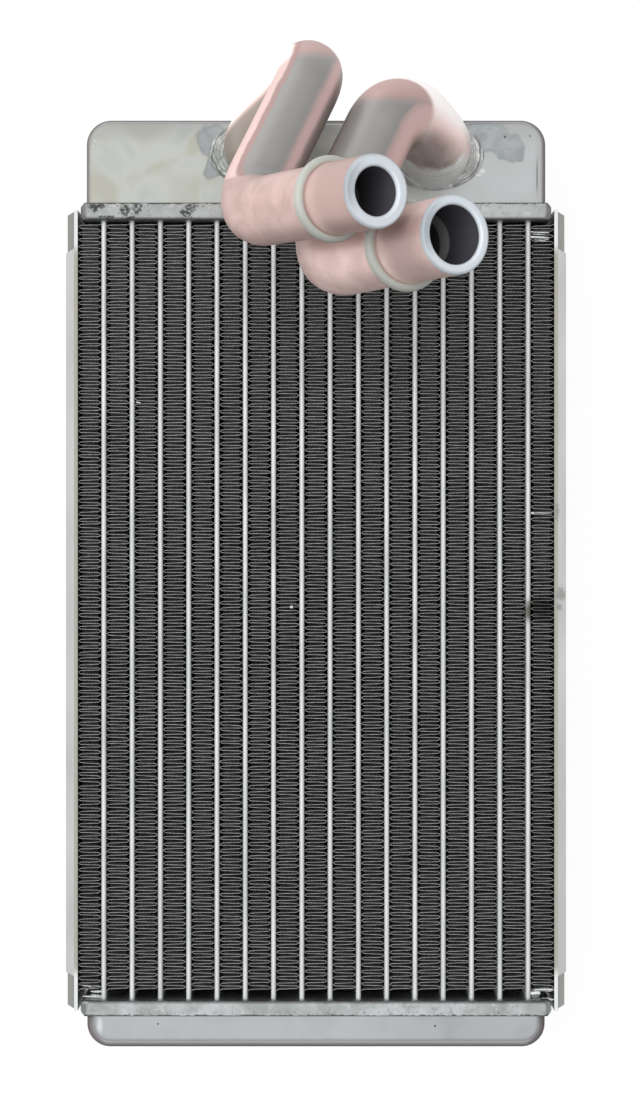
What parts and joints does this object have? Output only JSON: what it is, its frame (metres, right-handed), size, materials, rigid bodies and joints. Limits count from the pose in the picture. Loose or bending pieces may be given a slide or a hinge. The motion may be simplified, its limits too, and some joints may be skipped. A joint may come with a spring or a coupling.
{
  "type": "heater core",
  "caption": "Brazed aluminium heater core: flat tubes and folded fins between two tanks, with side plates and two bent hose pipes with raised beads.",
  "frame": {"origin": "bottom centre of the whole part, on the plane that it lies on", "axes": "+X across the tubes, +Y towards the tank with the pipes, +Z out of the front face"},
  "size_m": [0.1412, 0.2768, 0.1473],
  "materials": {
    "tank": "satin",
    "header": "satin",
    "tube": "satin",
    "fin": "matte",
    "side_plate": "satin",
    "pipe": "polished",
    "weld": "rough",
    "baffle": "satin"
  },
  "bodies": {
    "root": {"bottom_header": "header", "bottom_tank": "tank", "fin_01": "fin", "fin_02": "fin", "fin_03": "fin", "fin_04": "fin", "fin_05": "fin", "fin_06": "fin", "fin_07": "fin", "fin_08": "fin", "fin_09": "fin", "fin_10": "fin", "fin_11": "fin", "fin_12": "fin", "fin_13": "fin", "fin_14": "fin", "fin_15": "fin", "fin_16": "fin", "fin_17": "fin", "flat_tube_01": "tube", "flat_tube_02": "tube", "flat_tube_03": "tube", "flat_tube_04": "tube", "flat_tube_05": "tube", "flat_tube_06": "tube", "flat_tube_07": "tube", "flat_tube_08": "tube", "flat_tube_09": "tube", "flat_tube_10": "tube", "flat_tube_11": "tube", "flat_tube_12": "tube", "flat_tube_13": "tube", "flat_tube_14": "tube", "flat_tube_15": "tube", "flat_tube_16": "tube", "inlet_pipe": "pipe", "inlet_weld": "weld", "left_side_plate": "side_plate", "outlet_pipe": "pipe", "outlet_weld": "weld", "right_side_plate": "side_plate", "tank_baffle": "baffle", "top_header": "header", "top_tank": "tank"}
  },
  "joints": []
}
